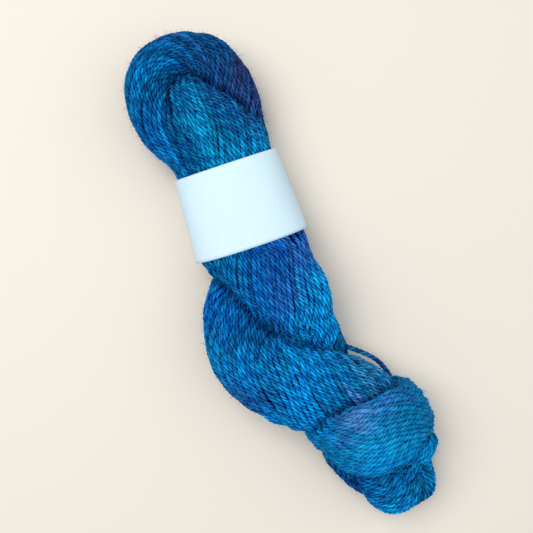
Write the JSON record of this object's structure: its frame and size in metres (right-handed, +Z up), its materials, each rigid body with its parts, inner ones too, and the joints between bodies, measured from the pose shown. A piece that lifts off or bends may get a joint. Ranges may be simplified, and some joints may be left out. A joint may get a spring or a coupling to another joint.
{
  "type": "twisted skein of yarn with a paper band",
  "caption": "Twisted hank of plied blue yarn, folded at a rounded arch, its far end pulled through its own eye, with a plain paper band round the waist.",
  "frame": {"origin": "middle of the skein's footprint, on the surface that it lies on", "axes": "+Y along the skein towards the arch, +X across it to the right when seen from above, +Z up"},
  "size_m": [0.0963, 0.2839, 0.0539],
  "materials": {
    "yarn": "soft matt plied wool, kettle dyed in teal, turquoise, cobalt and indigo",
    "paper": "bare matt white paper"
  },
  "bodies": {
    "root": {"hank": "yarn", "loose_strand": "yarn", "paper_band": "paper"}
  },
  "joints": []
}
